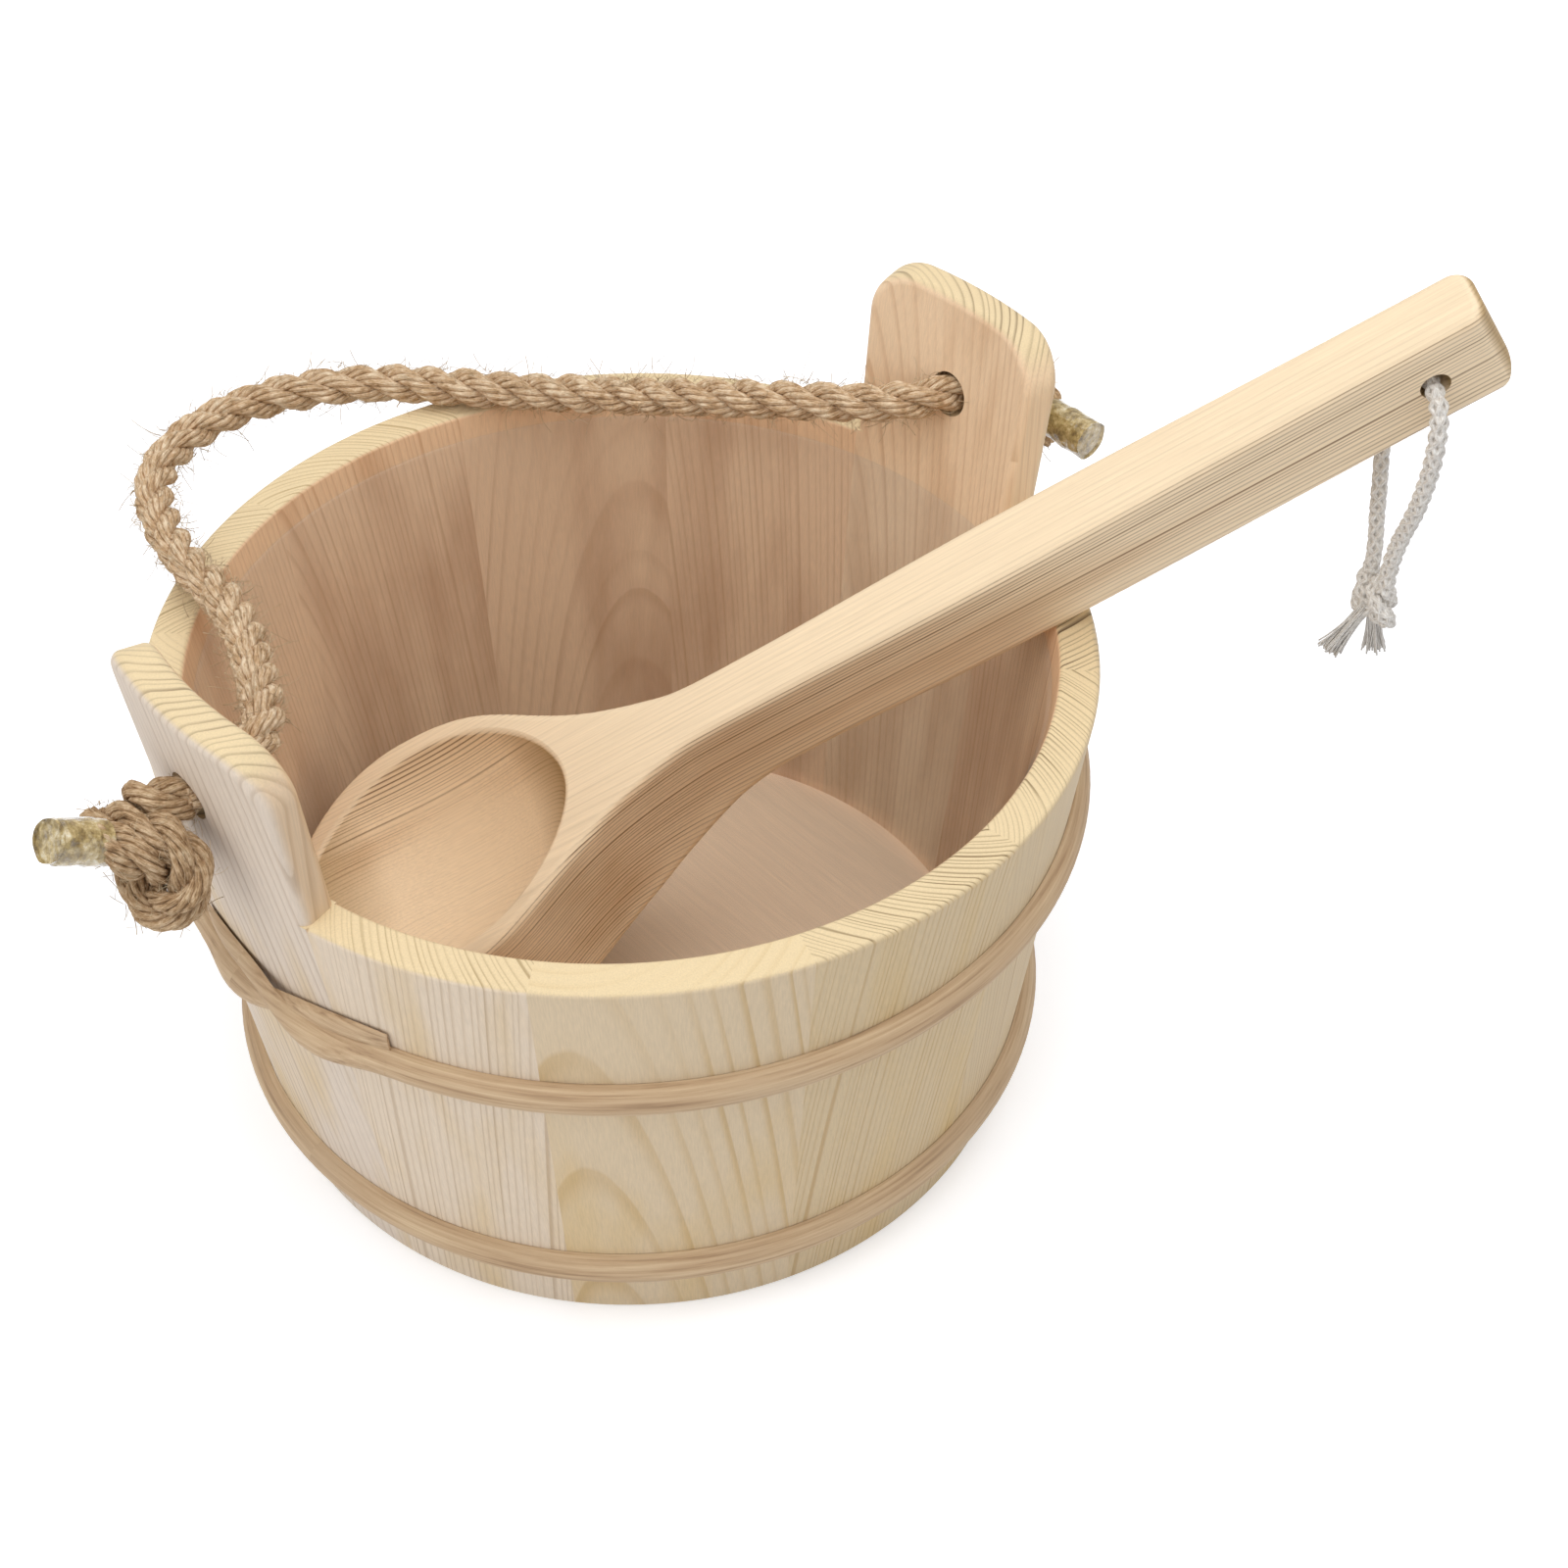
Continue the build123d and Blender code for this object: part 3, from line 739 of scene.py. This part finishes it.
gloss_stops = ((0.3, 0.52), (0.7, 0.68))
fibre_relief_share = 0.5
wood_relief = 0.28
wood_relief_depth = 0.4 * mm
level_part = (1, 1, 0)


def mixed(material, factor, first, second, blend="MIX"):
    """Two colours mixed by a factor."""
    kind = {"data_type": "RGBA", "blend_type": blend}
    return add_node(material, "Mix", kind, _0=factor, _6=first, _7=second).outputs[2]


def vector_sum(material, operation, *values):
    """A Vector Math node of the named operation. Its result may be a number."""
    sockets = {f"_{number}": value for number, value in enumerate(values)}
    made = add_node(material, "VectorMath", {"operation": operation}, **sockets)
    return made.outputs["Value" if operation in ("LENGTH", "DOT_PRODUCT") else "Vector"]


def softwood(
    name,
    pith,
    turn,
    ring_spacing,
    pale,
    line,
    end_pale,
    end_line,
    blush,
    line_share,
    end_share=0.8,
    unevenness=2.6,
    inner_with_painted_light=None,
    inner_line_with_painted_light=None,
    quiet_side=None,
    quiet_colour=None,
):
    """Planed softwood: uneven growth rings about a line through pith, turned by turn. A stave's
    inner face has its own colours, the wood's tone with painted warm bounce light of the pail's
    inside, and the face along quiet_side shows few of the rings."""
    material, shader = finish_material(name, roughness=0.6, specular=0.25)
    place = add_node(material, "TexCoord").outputs["Object"]
    log = add_node(
        material,
        "Mapping",
        {"vector_type": "TEXTURE"},
        Vector=place,
        Location=pith,
        Rotation=turn,
        Scale=(1, 1, grain_stretch),
    ).outputs["Vector"]
    radius = vector_sum(material, "LENGTH", vector_sum(material, "MULTIPLY", log, level_part))
    drift = cloudy(material, stretched(material, log, drift_scale), detail=2.0)
    years = add_node(
        material,
        "TexNoise",
        {"noise_dimensions": "1D"},
        W=sum_up(material, "MULTIPLY", radius, year_scale / ring_spacing),
        Scale=1.0,
        Detail=2.0,
    ).outputs["Fac"]
    age = sum_up(material, "MULTIPLY", radius, 1 / ring_spacing)
    age = sum_up(material, "MULTIPLY_ADD", years, unevenness, age)
    age = sum_up(material, "MULTIPLY_ADD", drift, ring_drift / ring_spacing, age)
    season = sum_up(material, "FRACT", age)
    harshness = add_node(
        material, "TexWhiteNoise", {"noise_dimensions": "1D"}, W=sum_up(material, "FLOOR", age)
    ).outputs["Value"]
    strength = sum_up(material, "MULTIPLY_ADD", harshness, 1 - faintest_ring, faintest_ring)
    late_wood = sum_up(material, "MULTIPLY", ramp(material, season, *season_stops), strength)
    patches = cloudy(material, stretched(material, log, patch_scale), detail=2.0)
    late_wood = sum_up(material, "MULTIPLY", late_wood, ramp(material, patches, *patch_stops))
    fibres = cloudy(
        material, stretched(material, log, wood_fibre_scale), detail=3.0, roughness=0.6
    )
    blotches = cloudy(material, stretched(material, log, blotch_scale), detail=3.0)
    lines = sum_up(material, "MULTIPLY", late_wood, line_share)
    blush_share = ramp(material, blotches, *blush_stops)
    face = mixed(material, lines, mixed(material, blush_share, dye(pale), dye(blush)), dye(line))
    links = material.node_tree.links
    normal = add_node(material, "NewGeometry").outputs["Normal"]
    # Painted light: faces turned into the pail take a pinker, brighter colour over the wood's own
    # tone, standing in for warm light bounced about inside it.
    if inner_with_painted_light:
        inner_ground_with_painted_light = mixed(material, blush_share, dye(inner_with_painted_light), dye(inner_line_with_painted_light))
        inner_face_with_painted_light = mixed(material, lines, inner_ground_with_painted_light, dye(inner_line_with_painted_light))
        outward = vector_sum(material, "MULTIPLY", place, level_part)
        facing = vector_sum(material, "DOT_PRODUCT", normal, outward)
        inside_painted_light_share = sum_up(material, "MULTIPLY_ADD", facing, painted_light_inside_slope, painted_light_inside_middle)
        face = mixed(material, ramp(material, inside_painted_light_share, *painted_light_inside_stops), face, inner_face_with_painted_light)
    if quiet_side:
        facing = vector_sum(material, "DOT_PRODUCT", normal, quiet_side)
        quiet_lines = sum_up(material, "MULTIPLY", late_wood, quiet_line_share)
        quiet_face = mixed(material, quiet_lines, dye(quiet_colour), dye(line))
        face = mixed(material, ramp(material, facing, *quiet_stops), face, quiet_face)
    end_lines = sum_up(material, "MULTIPLY", late_wood, end_share)
    end_grain = mixed(material, end_lines, dye(end_pale), dye(end_line))
    along_grain = add_node(
        material,
        "VectorRotate",
        {"rotation_type": "EULER_XYZ", "invert": True},
        Vector=normal,
        Rotation=turn,
    ).outputs["Vector"]
    end_facing = sum_up(
        material, "ABSOLUTE", add_node(material, "SeparateXYZ", Vector=along_grain).outputs["Z"]
    )
    colour = mixed(material, ramp(material, end_facing, *end_stops), face, end_grain)
    streaks = ramp(material, fibres, *streak_stops)
    colour = mixed(material, 1.0, colour, streaks, "MULTIPLY")
    links.new(colour, shader.inputs["Base Color"])
    relief = sum_up(material, "MULTIPLY", fibres, fibre_relief_share)
    relief = sum_up(material, "MULTIPLY_ADD", lines, 1 - fibre_relief_share, relief)
    bump(material, shader, relief, wood_relief, wood_relief_depth)
    links.new(ramp(material, fibres, *gloss_stops), shader.inputs["Roughness"])
    return material


# For each: rings' centre out and along, tilt out and along in degrees, ring spacing, the
# face's colour and its lines' colour and strength, then the rim's lines' colour and strength.
stave_logs = {
    "stave_01": (-46, 66, 0.4, 1.2, 1.7, "#E9D7C0", "#B2946F", 0.6, "#A58C62", 0.75),
    "stave_02": (-30, -17, 1.6, 1.4, 3.8, "#E1CCAC", "#C4A062", 0.65, "#D2B47E", 0.3),
    "stave_03": (-42, 62, 1.0, -0.8, 1.5, "#DDC7A2", "#BA9460", 0.65, "#70562F", 1.0),
    "stave_04": (-34, -46, 0.6, 0.9, 1.4, "#DAC4A0", "#B0895C", 0.65, "#70562F", 1.0),
    "stave_05": (-30, 40, -0.8, 0.5, 1.9, "#DCC9AE", "#A98862", 0.6, "#5E4630", 1.0),
    "stave_06": (-36, 50, 0.6, -0.7, 2.0, "#E2D2B6", "#BC9A6C", 0.55, "#B39A6A", 0.7),
    "stave_07": (-48, -12, 1.4, 0.8, 2.4, "#E5D6B8", "#CBAA74", 0.5, "#B79E70", 0.6),
    "stave_08": (-28, 34, 0.6, 0.9, 1.7, "#DFCDB4", "#B99870", 0.55, "#AD9266", 0.8),
    "stave_09": (-40, 56, 1.2, 0.7, 1.6, "#E7D9BE", "#CEB27C", 0.5, "#9C8258", 0.8),
    "stave_10": (-38, -54, -0.5, 0.8, 2.0, "#E0CFB2", "#BC9C6E", 0.6, "#A88E64", 0.7),
    "ear_stave_left": (-24, -40, 0.7, 0.5, 2.6, "#E6D6C4", "#AE9274", 0.6, "#7A654A", 0.75),
    "ear_stave_right": (-36, 34, 0.8, -0.6, 2.2, "#EAD3B0", "#C29C74", 0.5, "#6E553C", 0.9),
}
rim_pale = "#E9D3AA"
# Inner face colours: the wood's tone with painted warm bounce light of the pail's inside. The two
# ears' insides are painted lighter or darker for the light each gets from the left.
plain_inner_wood_and_painted_light = ("#F6D2AC", "#C8966C")
inner_woods_and_painted_light = {
    "ear_stave_left": ("#EACCA6", "#C8A47C"),
    "ear_stave_right": ("#FADDBA", "#D2A67C"),
}
for node_name, log in stave_logs.items():
    out, along, tilt_out, tilt_along, spacing, pale, line, line_share, end_line, end_share = log
    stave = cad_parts[node_name]
    middle = sum((vertex.co for vertex in stave.data.vertices), Vector())
    direction = math.atan2(middle.y, middle.x)
    wall = Vector((middle.x, middle.y, 0)).length / len(stave.data.vertices)
    outward = Vector((math.cos(direction), math.sin(direction), 0))
    beside = Vector((-math.sin(direction), math.cos(direction), 0))
    pith = outward * (wall + out * mm) + beside * along * mm
    inner_with_painted_light, inner_line_with_painted_light = inner_woods_and_painted_light.get(node_name, plain_inner_wood_and_painted_light)
    material = softwood(
        node_name + " wood",
        pith,
        (math.radians(tilt_out), math.radians(tilt_along), direction),
        spacing * mm,
        pale,
        line,
        rim_pale,
        end_line,
        blush="#DDBE82",
        line_share=line_share,
        end_share=end_share,
        inner_with_painted_light=inner_with_painted_light,
        inner_line_with_painted_light=inner_line_with_painted_light,
    )
    stave.data.materials.clear()
    stave.data.materials.append(material)

# Base: three boards glued edge to edge and let into a groove in the staves. They are pale, and
# their rings hardly show.
board_pith_height = -70 * mm
board_ring_spacing = 3.2 * mm
for node_name, shift in (
    ("base_board_left", -0.05),
    ("base_board_middle", 0.012),
    ("base_board_right", 0.06),
):
    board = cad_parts[node_name]
    board.data.materials.clear()
    board.data.materials.append(
        softwood(
            node_name + " wood",
            (shift, 0, board_pith_height),
            (math.pi / 2, 0, 0),
            board_ring_spacing,
            "#FADDBC",
            "#DDB890",
            "#EFDDB6",
            "#B99868",
            blush="#F6D9B8",
            line_share=0.05,
        )
    )

# Hoops: two split saplings, flat against the staves and round outside. The hooked ends of each
# cross and lock, and the pail's taper keeps them tight.
hoop_streak_scales = (3.0, 900.0, 900.0)
hoop_patch_scale = 22.0
hoop_patch_stops = ((0.45, 0.0), (0.75, 0.5))
hoop_relief = 0.5
hoop_relief_depth = 0.6 * mm
hoop_wood, hoop_shader = finish_material("hoop wood", roughness=0.62, specular=0.25)
hoop_place = add_node(hoop_wood, "TexCoord").outputs["Object"]
hoop_parts = add_node(hoop_wood, "SeparateXYZ", Vector=hoop_place)
hoop_turn = sum_up(
    hoop_wood, "ARCTAN2", hoop_parts.outputs["Y"], hoop_parts.outputs["X"]
)
hoop_radius = vector_sum(
    hoop_wood, "LENGTH", vector_sum(hoop_wood, "MULTIPLY", hoop_place, level_part)
)
hoop_along = add_node(
    hoop_wood, "CombineXYZ", X=hoop_turn, Y=hoop_radius, Z=hoop_parts.outputs["Z"]
).outputs["Vector"]
hoop_along = vector_sum(hoop_wood, "MULTIPLY", hoop_along, hoop_streak_scales)
hoop_streaks = cloudy(hoop_wood, hoop_along, detail=4.0, roughness=0.6)
hoop_patches = cloudy(hoop_wood, hoop_place, detail=2.0, scale=hoop_patch_scale)
hoop_colour = ramp(
    hoop_wood,
    hoop_streaks,
    (0.28, dye("#A08264")),
    (0.45, dye("#C2A482")),
    (0.7, dye("#DAC19E")),
)
hoop_colour = mixed(
    hoop_wood,
    ramp(hoop_wood, hoop_patches, *hoop_patch_stops),
    hoop_colour,
    dye("#CAB294"),
)
hoop_wood.node_tree.links.new(hoop_colour, hoop_shader.inputs["Base Color"])
bump(hoop_wood, hoop_shader, hoop_streaks, hoop_relief, hoop_relief_depth)
for node_name in ("upper_hoop", "lower_hoop"):
    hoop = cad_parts[node_name]
    hoop.data.materials.clear()
    hoop.data.materials.append(hoop_wood)

# Liner: a thin cup of clear plastic, moulded in one piece and faintly dulled by handling. It
# stands a quarter of a millimetre clear of the boards, so that two faces never share a plane.
seat_gap = 0.25 * mm
liner_haze_scale = 60.0
liner_haze_stops = ((0.4, 0.08), (0.7, 0.22))
liner_plastic, liner_shader = finish_material("clear plastic", roughness=0.12, specular=0.6)
liner_shader.inputs["Base Color"].default_value = (0.9, 0.86, 0.82, 1)
liner_shader.inputs["Alpha"].default_value = 0.06
liner_shader.inputs["Coat Weight"].default_value = 1.0
liner_shader.inputs["Coat Roughness"].default_value = 0.05
liner_place = add_node(liner_plastic, "TexCoord").outputs["Object"]
liner_haze = cloudy(liner_plastic, liner_place, detail=3.0, scale=liner_haze_scale)
liner_rough = ramp(liner_plastic, liner_haze, *liner_haze_stops)
liner_plastic.node_tree.links.new(liner_rough, liner_shader.inputs["Roughness"])
liner_cup = bpy.data.objects.new("liner_cup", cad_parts["liner"].data.copy())
liner_cup.data.name = "liner_cup"
scene.collection.objects.link(liner_cup)
liner_seat = min(vertex.co.z for vertex in liner_cup.data.vertices)
for vertex in liner_cup.data.vertices:
    vertex.co.z = max(vertex.co.z, liner_seat + seat_gap)
liner_cup.data.materials.clear()
liner_cup.data.materials.append(liner_plastic)
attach(liner_cup, "bucket")
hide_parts("liner")

# Ladle: carved from one plank, whose rings slope across it. Its top is planed pale, and the
# bowl, the neck and the sides show the rings as close brown lines.
ladle_middle = (-54.035 * mm, 39.009 * mm, 74.465 * mm)
ladle_azimuth = -36.6
ladle_tilt = 32.299
ladle_roll = 12.6
ladle_ring_spacing = 1.15 * mm
pith_below = 48 * mm
pith_beside = -36 * mm
azimuth = math.radians(ladle_azimuth)
tilt = math.radians(ladle_tilt)
roll = math.radians(ladle_roll)
ladle_turn = Matrix.Rotation(azimuth, 3, "Z")
ladle_along = ladle_turn @ Vector((math.cos(tilt), 0, math.sin(tilt)))
ladle_up = ladle_turn @ Vector(
    (-math.cos(roll) * math.sin(tilt), -math.sin(roll), math.cos(roll) * math.cos(tilt))
)
ladle_across = ladle_up.cross(ladle_along)
ladle_axes = Matrix((ladle_across, ladle_up, ladle_along)).transposed()
ladle_pith = Vector(ladle_middle) - ladle_up * pith_below + ladle_across * pith_beside
ladle_wood = softwood(
    "ladle wood",
    ladle_pith,
    ladle_axes.to_euler(),
    ladle_ring_spacing,
    "#FBE4C2",
    "#77532F",
    "#BC9F74",
    "#7E6240",
    blush="#DEBB92",
    line_share=1.0,
    unevenness=2.0,
    quiet_side=ladle_up,
    quiet_colour="#F5DEBC",
)
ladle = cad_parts["ladle"]
ladle.data.materials.clear()
ladle.data.materials.append(ladle_wood)

# Studio: a pale floor that brightens with distance until it meets the white sky, two broad soft
# lamps above and a weaker one at the left.
floor_size = 8.0
floor_drop = 0.4 * mm
floor_glow = 0.42
far_glow = 1.0
glow_start = 0.45
glow_end = 1.0
sky_strength = 0.52
lamp_aim = Vector((0, 0, 0.1))
bpy.ops.mesh.primitive_plane_add(size=floor_size, location=(0, 0, -floor_drop))
floor = bpy.context.object
floor.name = "studio_floor"
floor_paint, floor_shader = finish_material("studio floor", roughness=0.9, specular=0.0)
floor_shader.inputs["Base Color"].default_value = (0.82, 0.83, 0.86, 1)
floor_shader.inputs["Emission Color"].default_value = (1, 1, 1, 1)
rays = add_node(floor_paint, "LightPath")
seen = rays.outputs["Is Camera Ray"]
for ray_kind in ("Is Glossy Ray", "Is Transmission Ray"):
    seen = sum_up(floor_paint, "MAXIMUM", seen, rays.outputs[ray_kind])
floor_reach = vector_sum(
    floor_paint, "LENGTH", add_node(floor_paint, "TexCoord").outputs["Object"]
)
floor_light = ramp(floor_paint, floor_reach, (glow_start, floor_glow), (glow_end, far_glow))
floor_light = sum_up(floor_paint, "MULTIPLY", seen, floor_light)
floor_paint.node_tree.links.new(floor_light, floor_shader.inputs["Emission Strength"])
floor.data.materials.append(floor_paint)
world = bpy.data.worlds.new("studio")
world.use_nodes = True
scene.world = world
sky = world.node_tree.nodes["Background"]
sky.inputs["Color"].default_value = (1, 1, 1, 1)
sky.inputs["Strength"].default_value = sky_strength
sky_seen = add_node(world, "Background", Color=(1, 1, 1, 1))
sky_mix = add_node(
    world,
    "MixShader",
    _0=add_node(world, "LightPath").outputs["Is Camera Ray"],
    _1=sky.outputs["Background"],
    _2=sky_seen.outputs["Background"],
)
world_output = world.node_tree.nodes["World Output"]
world.node_tree.links.new(sky_mix.outputs["Shader"], world_output.inputs["Surface"])
for lamp_name, lamp_place, lamp_power, lamp_size in (
    ("key lamp", (-0.55, -0.25, 1.8), 11.5, 1.6),
    ("top lamp", (0.4, -0.1, 1.5), 8.0, 1.3),
    ("fill lamp", (-1.5, 0.1, 0.9), 4.5, 1.2),
):
    bpy.ops.object.light_add(type="AREA", location=lamp_place)
    lamp = bpy.context.object
    lamp.name = lamp_name
    lamp.data.energy = lamp_power
    lamp.data.size = lamp_size
    lamp_away = Vector(lamp_place) - lamp_aim
    lamp.rotation_euler = lamp_away.to_track_quat("Z", "Y").to_euler()
